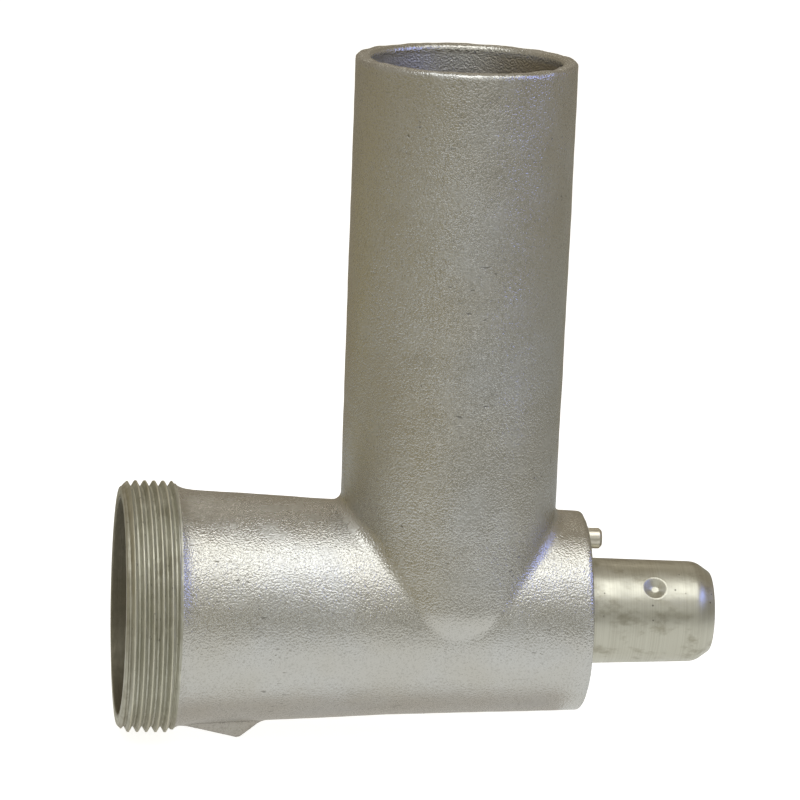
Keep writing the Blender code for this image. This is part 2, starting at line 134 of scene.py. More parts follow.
# Where a material changes, in metres: radii of the thread's crests and of the bore inside it (painted shade
# darkens the bore), the feed neck's inner wall from its foot to its rim, and its far side (a painted brown
# reflection)
CREST_BAND = (0.04066, 0.04090)
PAINTED_SHADE_BORE_BAND = (0.0354, 0.0368)
NECK_FOOT_BAND = (0.03, 0.05)
NECK_RIM_BAND = (0.178, 0.1805)
NECK_PAINTED_BROWN_BAND = (-0.045, -0.02)

# Grid spacing of the surfaces that are made from fields
CASTING_CELL = 1.0
WORM_CELL = 0.85


# ---------------------------------------------------------------- distance fields
def round_min(a, b, radius):
    """Union of two fields with a fillet of the given radius."""
    u = np.maximum(radius - a, 0)
    v = np.maximum(radius - b, 0)
    return np.maximum(radius, np.minimum(a, b)) - np.sqrt(u * u + v * v)


def round_max(a, b, radius):
    """Intersection of two fields with a rounded edge of the given radius."""
    return -round_min(-a, -b, radius)


def lerp(x, x0, x1, y0, y1):
    """Straight line through two points, level beyond them."""
    return y0 + (y1 - y0) * np.clip((x - x0) / (x1 - x0), 0, 1)


def waves(x, y, z, period, seed):
    """Smooth, repeatable unevenness between about -1 and 1."""
    rng = np.random.default_rng(seed)
    total = 0
    for _ in range(7):
        direction = rng.normal(size=3)
        direction /= np.linalg.norm(direction)
        turn = rng.uniform(0, math.tau)
        scale = math.tau / (period * rng.uniform(0.7, 1.5))
        total = total + np.sin((x * direction[0] + y * direction[1] + z * direction[2]) * scale + turn)
    return total / 4


def casting_field(x, y, z):
    """Distance to the cast part of the housing: barrel, feed neck and foot, hollow inside."""
    radial = np.hypot(y, z)
    flare = FLARE * np.exp(-np.abs(x - THREAD_END) / FLARE_REACH)
    line = np.where(x < TAPER_END, lerp(x, THREAD_END, TAPER_END, FRONT_RADIUS, TAPER_RADIUS),
                    lerp(x, TAPER_END, 0, TAPER_RADIUS, REAR_RADIUS))
    barrel = round_max(radial - line - flare, x - REAR_X, REAR_EDGE)
    around = np.hypot(x - NECK_X, y)
    tip = np.clip(TIP_TOP - z, 0, 16) ** 2 / (2 * TIP_RADIUS) - lerp(z, 0, 30, TIP_SWELL, 0)
    neck = around - lerp(z, 0, RIM_Z, NECK_RADIUS, NECK_TOP_RADIUS) + tip
    neck = np.maximum(neck, TIP_TOP - 16 - z)
    neck = round_max(neck, z - RIM_Z, 1.3)
    fillet = 0.3 + 3.9 * np.clip(z / 30, 0, 1) ** 2 - lerp(z, 26, 34, 0, 1.2)
    solid = round_min(barrel, neck, fillet)
    solid = round_min(solid, foot_field(x, y, z), 1.2)
    solid = solid - 0.10 * waves(x, y, z, 26, 3) - 0.05 * waves(x, y, z, 9, 4)
    solid = solid - 0.16 * waves(x, y, z, 6, 6) * np.clip((z - RIM_Z + 5) / 4, 0, 1)
    bore = bore_field(x, y, z)
    neck_bore = np.maximum(around - NECK_BORE, -z)
    hollow = round_min(bore, neck_bore, 0.8)
    hollow = hollow - 0.08 * waves(x, y, z, 17, 5)
    solid = round_max(solid, -hollow, 1.3)
    solid = np.maximum(solid, -(radial - SPIGOT_HOLE))
    pin_hole = np.maximum(np.hypot(y, z - PIN_Z) - PIN_HOLE, PIN_LOW[0] - 0.3 - x)
    solid = np.maximum(solid, -pin_hole)
    return np.maximum(solid, SHELL_FRONT - x)


def bore_field(x, y, z):
    """Distance to the tapering bore, with low ribs along its wall behind the knife."""
    angle = np.arctan2(z, y)
    radius = lerp(x, SEAT_X, REAR_WALL_X, FRONT_BORE, REAR_BORE)
    phase = (angle / math.tau * RIB_COUNT) % 1.0
    offset = np.minimum(phase, 1 - phase) / RIB_COUNT * math.tau * radius
    rib = RIB_HEIGHT * np.clip(1.6 - offset / 1.3, 0, 1) * np.clip((x - WORM_LOW[0]) / 4, 0, 1)
    return round_max(np.hypot(y, z) - radius + rib, x - REAR_WALL_X, 1.5)


def foot_field(x, y, z):
    """Distance to the wedge foot under the barrel: a long ramp and a short heel."""
    below, past = FOOT_Z - FOOT_DROP - z, x - FOOT_LOW_X
    ramp = below * math.cos(FOOT_RAMP) - past * math.sin(FOOT_RAMP)
    heel = below * math.cos(FOOT_HEEL) + past * math.sin(FOOT_HEEL)
    wedge = round_max(round_max(ramp, heel, 0.7), np.abs(y) - FOOT_HALF_WIDTH, 1.0)
    return np.maximum(wedge, z + FRONT_BORE - 0.3)


def turn_number(y, z):
    """Share of a turn about the X axis, from the top towards the camera's side."""
    return (np.arctan2(-y, z) / math.tau) % 1.0


def flight_tip(x):
    """Radius of the worm's flight at x."""
    return lerp(x, SEAT_X, REAR_WALL_X, FRONT_BORE, REAR_BORE) - RIB_HEIGHT - WORM_CLEARANCE


def worm_field(x, y, z):
    """Distance to the feed worm: a core and one flight whose pitch grows to the rear."""
    front, rear = WORM_LOW[0], WORM_HIGH[0]
    radial = np.hypot(y, z)
    turns = (rear - front - FLIGHT_ROOT) / ((PITCH_FRONT + PITCH_REAR) / 2)
    growth = (PITCH_REAR - PITCH_FRONT) / 2
    share = turn_number(y, z)
    core_radius = lerp(x, front, rear, 15.0, 11.5)
    core = round_max(radial - core_radius, np.maximum(front - x, x - rear), 1.0)
    flight = np.full(x.shape, 99.0)
    tip = flight_tip(x)
    half = lerp(radial, 11.0, 29.0, FLIGHT_ROOT / 2, FLIGHT_TIP / 2)
    for number in range(-1, 5):
        turn = number + share
        held = np.clip(turn, 0, turns)
        centre = front + FLIGHT_ROOT / 2 + held * (PITCH_FRONT + growth * held / turns)
        side = (np.abs(x - centre) - half) * 0.97
        end = np.abs(turn - held) * math.tau * radial - 2.0
        piece = round_max(round_max(side, radial - tip, 0.7), end, 1.5)
        flight = np.minimum(flight, piece)
    solid = round_min(core, flight, 2.6)
    solid = np.maximum(solid, np.maximum(front - x, x - rear))
    solid = solid - 0.05 * waves(x, y, z, 8, 9)
    shank_hole = np.maximum(radial - 8.2, (rear - 30.3) - x)
    stud_hole = np.maximum(radial - 5.2, x - (front + 16.3))
    cross = np.maximum(np.hypot(x - CROSS_X, z) - 2.2, np.abs(y) - 14)
    return np.maximum(np.maximum(solid, -shank_hole), np.maximum(-stud_hole, -cross))


# ---------------------------------------------------------------- meshes
def surface(field, low, high, cell):
    """Closed quad surface of a field's zero level, on a grid, then drawn onto the field."""
    counts = [int(math.ceil((b - a) / cell)) + 3 for a, b in zip(low, high)]
    axes = [a - cell + cell * np.arange(n) for a, n in zip(low, counts)]
    grid = np.meshgrid(*axes, indexing="ij")
    value = field(*grid)
    value[value == 0] = 1e-6
    inside = value < 0
    cells = tuple(n - 1 for n in counts)
    total = np.zeros(cells + (3,))
    hits = np.zeros(cells)
    edges = []
    for axis in range(3):
        start = [slice(None)] * 3
        stop = [slice(None)] * 3
        start[axis] = slice(0, -1)
        stop[axis] = slice(1, None)
        a, b = value[tuple(start)], value[tuple(stop)]
        crossing = inside[tuple(start)] != inside[tuple(stop)]
        share = np.where(crossing, a / np.where(crossing, a - b, 1), 0)
        index = np.argwhere(crossing)
        points = index.astype(float)
        points[:, axis] += share[crossing]
        others = [k for k in range(3) if k != axis]
        for du in (0, -1):
            for dv in (0, -1):
                cell_index = index.copy()
                cell_index[:, others[0]] += du
                cell_index[:, others[1]] += dv
                good = np.all((cell_index >= 0) & (cell_index < cells), axis=1)
                where = tuple(cell_index[good].T)
                np.add.at(total, where, points[good])
                np.add.at(hits, where, 1)
        edges.append((axis, index, inside[tuple(start)][crossing]))
    used = hits > 0
    number = np.full(cells, -1)
    number[used] = np.arange(used.sum())
    points = total[used] / hits[used][:, None] * cell + (np.array(low) - cell)
    quads = []
    for axis, index, starts_inside in edges:
        u, v = [(1, 2), (2, 0), (0, 1)][axis]
        ring = []
        for du, dv in ((-1, -1), (0, -1), (0, 0), (-1, 0)):
            corner = index.copy()
            corner[:, u] += du
            corner[:, v] += dv
            ring.append(number[tuple(corner.T)])
        quad = np.stack(ring, axis=1)
        quads.append(np.where(starts_inside[:, None], quad, quad[:, ::-1]))
    quads = np.concatenate(quads)
    for _ in range(4):
        points = relax(points, quads, 0.35)
        points = draw_onto(field, points, cell)
    return draw_onto(field, points, cell), quads


def relax(points, quads, share):
    """Moves each point part of the way to the middle of its neighbours."""
    total = np.zeros_like(points)
    count = np.zeros(len(points))
    for k in range(4):
        a, b = quads[:, k], quads[:, (k + 1) % 4]
        np.add.at(total, a, points[b])
        np.add.at(count, a, 1)
        np.add.at(total, b, points[a])
        np.add.at(count, b, 1)
    return points + share * (total / count[:, None] - points)


def draw_onto(field, points, cell):
    """Steps each point along the field's slope to its zero level."""
    step = cell * 0.05
    for _ in range(2):
        here = field(*points.T)
        slope = np.stack([(field(*(points + step * unit).T) - field(*(points - step * unit).T)) / (2 * step)
                          for unit in np.eye(3)], axis=1)
        size = np.maximum((slope * slope).sum(axis=1), 0.3)
        move = -(here / size)[:, None] * slope
        length = np.linalg.norm(move, axis=1, keepdims=True)
        points = points + move * np.minimum(1, 0.5 * cell / np.maximum(length, 1e-9))
    return points


def mesh_object(name, points, faces, material):
    """An object from points in millimetres, shaded smooth."""
    mesh = bpy.data.meshes.new(name)
    mesh.from_pydata((np.asarray(points) * MM).tolist(), [], np.asarray(faces).tolist())
    mesh.validate()
    mesh.shade_smooth()
    item = bpy.data.objects.new(name, mesh)
    bpy.context.scene.collection.objects.link(item)
    mesh.materials.append(material)
    return item


def rounded(corner_list, closed=True):
    """Profile of (x, radius, fillet) corners with each fillet drawn as an arc."""
    path = []
    count = len(corner_list)
    for k, (x, r, fillet) in enumerate(corner_list):
        if fillet == 0 or (not closed and k in (0, count - 1)):
            path.append((x, r))
            continue
        here = np.array((x, r))
        before = np.array(corner_list[k - 1][:2]) - here
        after = np.array(corner_list[(k + 1) % count][:2]) - here
        reach_before, reach_after = np.linalg.norm(before), np.linalg.norm(after)
        before, after = before / reach_before, after / reach_after
        half = math.acos(float(np.clip(before @ after, -1, 1))) / 2
        cut = min(fillet / math.tan(half), reach_before * 0.45, reach_after * 0.45)
        margin = min(cut + 0.25, reach_before * 0.49, reach_after * 0.49)
        path.append(tuple(here + before * margin))
        start, stop = here + before * cut, here + after * cut
        for step in np.linspace(0, 1, 6):
            point = (1 - step) ** 2 * start + 2 * step * (1 - step) * here + step ** 2 * stop
            path.append(tuple(point))
        path.append(tuple(here + after * margin))
    return path


def divided(path, low, high, spacing):
    """The same profile with extra points where x lies between low and high."""
    result = []
    for (x0, r0), (x1, r1) in zip(path, path[1:] + path[:1]):
        result.append((x0, r0))
        if low <= min(x0, x1) and max(x0, x1) <= high and abs(x1 - x0) > spacing:
            parts = int(abs(x1 - x0) / spacing)
            for part in range(1, parts):
                share = part / parts
                result.append((x0 + (x1 - x0) * share, r0 + (r1 - r0) * share))
    return result


def turned(name, path, material, columns=128, closed=True, shape=None):
    """Revolves an (x, radius) profile about the X axis; shape may move the points."""
    angle = np.arange(columns) / columns * math.tau
    x = np.repeat([p[0] for p in path], columns)
    radius = np.repeat([p[1] for p in path], columns)
    points = np.stack([x, -radius * np.sin(np.tile(angle, len(path))),
                       radius * np.cos(np.tile(angle, len(path)))], axis=1)
    if shape:
        points = shape(points)
    rows = len(path) if closed else len(path) - 1
    row = np.repeat(np.arange(rows), columns)
    column = np.tile(np.arange(columns), rows)
    following, beside = (row + 1) % len(path), (column + 1) % columns
    faces = np.stack([row * columns + column, following * columns + column,
                      following * columns + beside, row * columns + beside], axis=1)
    item = mesh_object(name, points, faces, material)
    bm = bmesh.new()
    bm.from_mesh(item.data)
    bmesh.ops.remove_doubles(bm, verts=bm.verts, dist=1e-7)
    bmesh.ops.recalc_face_normals(bm, faces=bm.faces)
    bm.to_mesh(item.data)
    bm.free()
    return item


def settle(item, location, rotation=(0, 0, 0)):
    """Moves a piece's mesh to its place, in millimetres, leaving the object at the origin."""
    turn = Euler([math.radians(a) for a in rotation]).to_matrix().to_4x4()
    place = Matrix.Translation(Vector(location) * MM) @ turn
    item.data.transform(place)
    return item


# ---------------------------------------------------------------- materials
class Graph:
    """A material's nodes, wired with short calls."""

    def __init__(self, name):
        self.material = bpy.data.materials.new(name)
        self.material.use_nodes = True
        self.tree = self.material.node_tree
        self.shader = self.tree.nodes["Principled BSDF"]
        self.place = self.add("ShaderNodeTexCoord").outputs["Object"]

    def add(self, kind, inputs=(), **settings):
        node = self.tree.nodes.new(kind)
        for key, value in settings.items():
            setattr(node, key, value)
        for key, value in dict(inputs).items():
            self.feed(node.inputs[key], value)
        return node

    def feed(self, socket, value):
        if isinstance(value, bpy.types.NodeSocket):
            self.tree.links.new(value, socket)
        else:
            socket.default_value = value

    def stretch(self, scale, rotation=(0, 0, 0), source=None):
        """Coordinates scaled, and turned by degrees, for marks that run one way."""
        turn = [math.radians(a) for a in rotation]
        return self.add("ShaderNodeMapping", {"Vector": source or self.place, "Rotation": turn,
                                              "Scale": scale}).outputs[0]

    def noise(self, scale, detail=2.0, source=None, rough=0.5):
        return self.add("ShaderNodeTexNoise", {"Vector": source or self.place, "Scale": scale,
                                               "Detail": detail, "Roughness": rough}).outputs["Fac"]

    def cells(self, scale, source=None, smooth=0.6):
        node = self.add("ShaderNodeTexVoronoi", feature="SMOOTH_F1",
                        inputs={"Vector": source or self.place, "Scale": scale, "Smoothness": smooth})
        return node.outputs["Distance"]

    def sum(self, a, b, operation="ADD", clamp=False):
        return self.add("ShaderNodeMath", {0: a, 1: b}, operation=operation, use_clamp=clamp).outputs[0]

    def span(self, value, low, high, to_low=0.0, to_high=1.0, smooth=True):
        """A value's range mapped to another, level outside it."""
        kind = "SMOOTHSTEP" if smooth else "LINEAR"
        node = self.add("ShaderNodeMapRange", interpolation_type=kind,
                        inputs={"Value": value, "From Min": low, "From Max": high,
                                "To Min": to_low, "To Max": to_high})
        return node.outputs["Result"]

    def blend(self, share, a, b, kind="MIX"):
        node = self.add("ShaderNodeMix", data_type="RGBA", blend_type=kind)
        self.feed(node.inputs["Factor"], share)
        for index, value in ((6, a), (7, b)):
            if not isinstance(value, bpy.types.NodeSocket):
                value = (*value, 1.0)
            self.feed(node.inputs[index], value)
        return node.outputs[2]

    def bump(self, height, distance, strength=1.0, normal=None):
        inputs = {"Height": height, "Distance": distance, "Strength": strength}
        if normal:
            inputs["Normal"] = normal
        return self.add("ShaderNodeBump", inputs).outputs["Normal"]

    def radius(self):
        """Distance from the barrel's axis, in metres."""
        parts = self.add("ShaderNodeSeparateXYZ", {0: self.place}).outputs
        flat = self.add("ShaderNodeCombineXYZ", {"Y": parts["Y"], "Z": parts["Z"]}).outputs[0]
        return self.add("ShaderNodeVectorMath", {0: flat}, operation="LENGTH").outputs["Value"]

    def along(self):
        """Coordinates that change along and across the axis, but not round it."""
        parts = self.add("ShaderNodeSeparateXYZ", {0: self.place}).outputs
        return self.add("ShaderNodeCombineXYZ", {"X": parts["X"], "Y": self.radius()}).outputs[0]

    def finish(self, color, roughness, metallic=1.0, normal=None):
        self.feed(self.shader.inputs["Base Color"], color)
        self.feed(self.shader.inputs["Roughness"], roughness)
        self.shader.inputs["Metallic"].default_value = metallic
        if normal:
            self.feed(self.shader.inputs["Normal"], normal)
        return self.material


def scratches(g, scale, rotation, low, high, length=14.0):
    """Short thin marks along one direction, as a 0 to 1 mask."""
    run = g.stretch((1.0, length, length), rotation)
    return g.span(g.noise(scale, 1.0, run), low, high)


def tinned_iron(name, worn=0.0):
    """Hot-tinned grey iron: a fine worm-like grain, faint stains, a few dark nicks, and on the feed neck's
    inner wall a paler grey with a painted brown reflection on its far side.
    """
    g = Graph(name)
    patches = g.span(g.noise(22, 3), 0.36, 0.66)
    color = g.blend(patches, (0.59, 0.572, 0.525), (0.635, 0.635, 0.625))
    stain = g.span(g.noise(48, 5, rough=0.7), 0.54, 0.80, 0.0, 0.5)
    color = g.blend(stain, color, (0.42, 0.40, 0.35))
    peel = g.noise(1550, 1.5, rough=0.6)
    color = g.blend(g.span(peel, 0.32, 0.5, 0.35, 0.0), color, (0.36, 0.35, 0.32))
    rare = g.span(g.noise(34, 1), 0.54, 0.62)
    nicks = g.sum(scratches(g, 230, (25, 15, 60), 0.70, 0.76, 3.0),
                  scratches(g, 210, (-20, 40, -50), 0.70, 0.76, 3.0), "MAXIMUM")
    nicks = g.sum(nicks, g.sum(rare, 0.6, "MULTIPLY"), "MULTIPLY")
    color = g.blend(nicks, color, (0.17, 0.16, 0.14))
    inside = inside_neck(g)
    # painted reflection: the far (+X) side of the neck's inner wall is turned brown
    painted_brown_side = g.span(g.add("ShaderNodeSeparateXYZ", {0: g.place}).outputs["X"], *NECK_PAINTED_BROWN_BAND)
    color = g.blend(inside, color, g.blend(painted_brown_side, (0.68, 0.67, 0.65), (0.50, 0.44, 0.33)))
    calm = g.span(g.noise(26, 2), 0.35, 0.65, 0.7, 1.0)
    height = g.sum(g.sum(peel, calm, "MULTIPLY"), g.sum(nicks, -0.3, "MULTIPLY"))
    coarse = g.bump(g.noise(150, 2), 0.00012, 0.6)
    normal = g.bump(height, 0.00036, 0.9, coarse)
    rough = g.span(g.noise(90, 4), 0.3, 0.7, 0.21 + worn, 0.29 + worn)
    rough = g.sum(rough, g.sum(inside, 0.18, "MULTIPLY"))
    return g.finish(color, rough, 1.0, normal)


def inside_neck(g):
    """Mask of the feed neck's rough inner wall."""
    parts = g.add("ShaderNodeSeparateXYZ", {0: g.place}).outputs
    offset = g.sum(parts["X"], -NECK_X * MM)
    squares = g.sum(g.sum(offset, offset, "MULTIPLY"), g.sum(parts["Y"], parts["Y"], "MULTIPLY"))
    reach = g.sum(squares, 0.5, "POWER")
    near = g.span(reach, (NECK_BORE + 0.6) * MM, (NECK_BORE + 2.6) * MM, 1.0, 0.0)
    deep = g.sum(g.span(parts["Z"], *NECK_FOOT_BAND), g.span(parts["Z"], *NECK_RIM_BAND, 1.0, 0.0),
                 "MULTIPLY")
    return g.sum(near, deep, "MULTIPLY")


def cut_thread(name):
    """Cut thread: dull olive flanks, pale worn crests, marks that run round it and painted shade inside the
    bore.
    """
    g = Graph(name)
    ring = g.along()
    crest = g.span(g.radius(), *CREST_BAND)
    # painted shade mask: the seat and bore inside the mouth, below the thread
    inner = g.span(g.radius(), *PAINTED_SHADE_BORE_BAND, 1.0, 0.0)
    smear = g.noise(150, 3, g.stretch((6, 0.5, 0.5)))
    color = g.blend(g.span(smear, 0.35, 0.65), (0.56, 0.55, 0.47), (0.66, 0.65, 0.58))
    color = g.blend(g.span(g.noise(2600, 2, ring), 0.42, 0.66, 0.0, 0.6), color, (0.37, 0.36, 0.28))
    color = g.blend(g.span(g.noise(60, 4, rough=0.7), 0.50, 0.72, 0.0, 0.6), color, (0.36, 0.34, 0.26))
    streak = g.span(g.noise(340, 2, g.stretch((3.0, 0.6, 0.6))), 0.60, 0.72, 0.0, 0.5)
    color = g.blend(streak, color, (0.78, 0.77, 0.68))
    color = g.blend(g.sum(crest, 0.4, "MULTIPLY"), color, (0.78, 0.75, 0.60))
    lip = g.span(g.add("ShaderNodeSeparateXYZ", {0: g.place}).outputs["X"],
                 (MOUTH_X + 0.2) * MM, (MOUTH_X + 3.5) * MM, 0.5, 0.0)
    lip = g.sum(lip, g.span(g.noise(240, 3), 0.40, 0.62, 0.4, 1.0), "MULTIPLY")
    color = g.blend(lip, color, (0.30, 0.27, 0.20))
    nicks = g.span(g.noise(700, 2), 0.68, 0.74, 0.0, 0.5)
    color = g.blend(nicks, color, (0.20, 0.19, 0.15))
    # painted shade darkens the seat and bore inside the mouth
    color = g.blend(g.sum(inner, 0.9, "MULTIPLY"), color, (0.22, 0.20, 0.15))
    marks = g.bump(g.noise(4200, 2, ring), 0.00006, 0.8)
    normal = g.bump(g.noise(700, 3), 0.00016, 0.7, marks)
    rough = g.span(g.noise(260, 3), 0.3, 0.7, 0.5, 0.66)
    return g.finish(color, rough, 1.0, normal)


def turned_steel(name, color, dark, low, high, coarse=2400):
    """Turned steel: fine rings round the axis, with stains and a few specks."""
    g = Graph(name)
    ring = g.along()
    tone = g.blend(g.span(g.noise(coarse, 2, ring), 0.4, 0.68, 0.0, 0.22), color, dark)
    stain = g.span(g.noise(95, 5, g.stretch((1.0, 1.6, 1.6)), 0.7), 0.50, 0.72, 0.0, 0.75)
    tone = g.blend(stain, tone, dark)
    specks = g.span(g.cells(330, smooth=0.1), 0.06, 0.14, 0.8, 0.0)
    specks = g.sum(specks, g.span(g.noise(60, 1), 0.52, 0.62), "MULTIPLY")
    tone = g.blend(specks, tone, (0.10, 0.09, 0.08))
    marks = g.bump(g.noise(coarse * 1.6, 2, ring), 0.00003, 0.7)
    normal = g.bump(g.noise(420, 3), 0.00009, 0.5, marks)
    rough = g.span(g.noise(140, 3), 0.3, 0.7, low, high)
    return g.finish(tone, rough, 1.0, normal)


def soft_part(name, color, dark, low, high, grain):
    """Moulded rubber or nylon: faint mottling and a fine grain."""
    g = Graph(name)
    tone = g.blend(g.span(g.noise(180, 3), 0.35, 0.65), color, dark)
    tone = g.blend(g.span(g.noise(900, 2), 0.6, 0.75, 0.0, 0.4), tone, dark)
    normal = g.bump(g.noise(grain, 2), 0.00008, 0.6)
    rough = g.span(g.noise(200, 2), 0.3, 0.7, low, high)
    return g.finish(tone, rough, 0.0, normal)


CASTING = tinned_iron("tinned_iron")
WORM_TIN = tinned_iron("tinned_worm", 0.04)
THREAD = cut_thread("cut_thread")
SPIGOT_STEEL = turned_steel("spigot_steel", (0.60, 0.585, 0.50), (0.34, 0.315, 0.24), 0.30, 0.44)
PIN_STEEL = turned_steel("pin_steel", (0.74, 0.70, 0.60), (0.45, 0.41, 0.33), 0.25, 0.36)
SHANK_STEEL = turned_steel("shank_steel", (0.60, 0.60, 0.60), (0.40, 0.39, 0.37), 0.22, 0.34)
BRONZE = turned_steel("bronze", (0.62, 0.42, 0.20), (0.40, 0.26, 0.12), 0.28, 0.42)
RUBBER = soft_part("seal_rubber", (0.035, 0.035, 0.035), (0.06, 0.058, 0.055), 0.5, 0.68, 1500)
NYLON = soft_part("washer_nylon", (0.74, 0.70, 0.60), (0.62, 0.57, 0.46), 0.4, 0.55, 1100)


# ---------------------------------------------------------------- pieces
def add_piece(item, body, node):
    """Rides a piece on its body in place of its CAD node."""
    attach(item, body)
    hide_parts(node)
    return item


def make_casting():
    """The cast part of the housing, behind the machined mouth."""
    low = (SHELL_FRONT - 1, -42, FOOT_Z - 1)
    high = (1, 42, RIM_Z + 1)
    points, faces = surface(shell_field, low, high, CASTING_CELL)
    return add_piece(mesh_object("cast_body", points, faces, CASTING), "head", "housing")


def shell_field(x, y, z):
    """The casting, stepped down where the machined mouth surrounds it."""
    radial = np.hypot(y, z)
    outside = np.where(x < THREAD_END - 0.8, radial - SHELL_STEP_RADIUS, -99.0)
    inside = np.where(x < MACHINED_END - 0.3, FRONT_BORE + 1.0 - radial, -99.0)
    return np.maximum(casting_field(x, y, z), np.maximum(outside, inside))


def thread_depth_at(distance):
    """How far the thread's surface lies below its crest, at a distance along it."""
    crest, slope = 0.19, math.tan(math.radians(30))
    return np.clip((distance - crest) / slope, 0, THREAD_DEPTH)


def make_mouth():
    """The machined mouth: outside thread, end face and the seat for the plate."""
    columns = 216
    marks = np.array([0, 0.12, 0.19, 0.3, 0.5, 0.75, 1.0, 1.18, 1.25, 1.37])
    offsets = np.concatenate([-marks[::-1], marks[1:], [THREAD_PITCH / 2]])
    turns = int((MACHINED_END - MOUTH_X) / THREAD_PITCH) + 3
    x0 = MOUTH_X + 2.05 - THREAD_PITCH * 2
    row_x = np.concatenate([x0 + THREAD_PITCH * n + offsets for n in range(turns)])
    depth = np.tile(thread_depth_at(np.abs(offsets)), turns)
    column = np.arange(columns + 1) / columns
    x = row_x[:, None] + THREAD_PITCH * column[None, :]
    angle = np.broadcast_to(column[None, :] * math.tau, x.shape)
    radius = THREAD_RADIUS - np.broadcast_to(depth[:, None], x.shape)
    y, z = -np.sin(angle), np.cos(angle)
    radius = radius - 0.05 - 0.05 * waves(x, y * 40, z * 40, 6, 21)
    bevel = THREAD_RADIUS - THREAD_DEPTH - 0.35 + (x - MOUTH_X) * 0.9
    last = np.maximum(THREAD_END - 0.4 - x, 0)
    collar = FRONT_RADIUS + FLARE + 0.05
    radius = np.clip(radius, collar - last * 0.9, collar + last * 1.4)
    radius = np.minimum(radius, bevel)
    points = np.stack([x, y * radius, z * radius], axis=-1).reshape(-1, 3)
    rows, wide = x.shape
    index = np.arange(rows * wide).reshape(rows, wide)
    faces = np.stack([index[:-1, :-1], index[1:, :-1], index[1:, 1:], index[:-1, 1:]], axis=-1).reshape(-1, 4)
    item = mesh_object("threaded_mouth", points, faces, THREAD)
    bm = bmesh.new()
    bm.from_mesh(item.data)
    bmesh.ops.remove_doubles(bm, verts=bm.verts, dist=1e-7)
    for end, facing in ((MOUTH_X, -1), (MACHINED_END, 1)):
        bmesh.ops.bisect_plane(bm, geom=bm.verts[:] + bm.edges[:] + bm.faces[:], dist=1e-8,
                               plane_co=(end * MM, 0, 0), plane_no=(facing, 0, 0), clear_outer=True)
    front = [e for e in bm.edges if e.is_boundary and abs(e.verts[0].co.x - MOUTH_X * MM) < 1e-6
             and abs(e.verts[1].co.x - MOUTH_X * MM) < 1e-6]
    rear = [e for e in bm.edges if e.is_boundary and abs(e.verts[0].co.x - MACHINED_END * MM) < 1e-6
            and abs(e.verts[1].co.x - MACHINED_END * MM) < 1e-6]
    inside = rounded([(MOUTH_X, 38.6, 0), (MOUTH_X, SEAT_RADIUS, 0.5), (SEAT_X, SEAT_RADIUS, 0.25),
                      (SEAT_X, FRONT_BORE, 0.5), (MACHINED_END, FRONT_BORE, 0)], closed=False)
    loop = front
    for px, pr in inside:
        grown = bmesh.ops.extrude_edge_only(bm, edges=loop)["geom"]
        loop = [part for part in grown if isinstance(part, bmesh.types.BMEdge)]
        for vert in {v for e in loop for v in e.verts}:
            reach = math.hypot(vert.co.y, vert.co.z)
            vert.co = (px * MM, vert.co.y * pr * MM / reach, vert.co.z * pr * MM / reach)
    bmesh.ops.bridge_loops(bm, edges=loop + rear)
    bmesh.ops.recalc_face_normals(bm, faces=bm.faces)
    bm.to_mesh(item.data)
    bm.free()
    item.data.set_sharp_from_angle(angle=math.radians(35))
    return add_piece(item, "head", "housing")


def make_spigot():
    """Hub spigot with its clamp dimple."""
    flange_x = SPIGOT_LOW[0] + 3.0
    path = rounded([(SPIGOT_LOW[0], SPIGOT_BORE, 0.3), (SPIGOT_LOW[0], SPIGOT_HIGH[1], 0.5),
                    (flange_x, SPIGOT_HIGH[1], 0.5), (flange_x, SPIGOT_RADIUS, 0.2),
                    (0.0, SPIGOT_RADIUS, 0.0), (SPIGOT_HIGH[0] - 5.0, SPIGOT_END_RADIUS, 7.0),
                    (SPIGOT_HIGH[0], SPIGOT_END_RADIUS - 3.5, 1.6), (SPIGOT_HIGH[0], SPIGOT_BORE, 0.5)])
    path = divided(path, -1.0, SPIGOT_HIGH[0] - 4.0, 0.33)
    item = turned("hub_spigot", path, SPIGOT_STEEL, 330, shape=dimpled)
    return add_piece(item, "head", "mounting_spigot")


def dimpled(points):
    """Presses the clamp dimple into the spigot's outside."""
    x, y, z = points.T
    radius = np.hypot(y, z)
    angle = np.arctan2(-y, z)
    apart = np.hypot(x - DIMPLE_X, radius * (angle - DIMPLE_ANGLE))
    depth = 1.6 * np.clip((3.8 - apart) / 2.6, 0, 1)
    rim = 0.04 * np.exp(-((apart - 4.0) / 0.35) ** 2)
    outer = (radius > 15) & (x > 2)
    factor = np.where(outer, (radius - depth + rim) / np.maximum(radius, 1e-6), 1.0)
    return np.stack([x, y * factor, z * factor], axis=1)


def rod_path(x0, x1, radius, edge):
    """Solid rod along X with rounded ends."""
    return rounded([(x0, 0, 0), (x0, radius, edge), (x1, radius, edge), (x1, 0, 0)], closed=False)


def ring_path(x0, x1, bore, radius, edge):
    """Plain ring along X with rounded edges."""
    return rounded([(x0, bore, edge), (x0, radius, edge), (x1, radius, edge), (x1, bore, edge)])


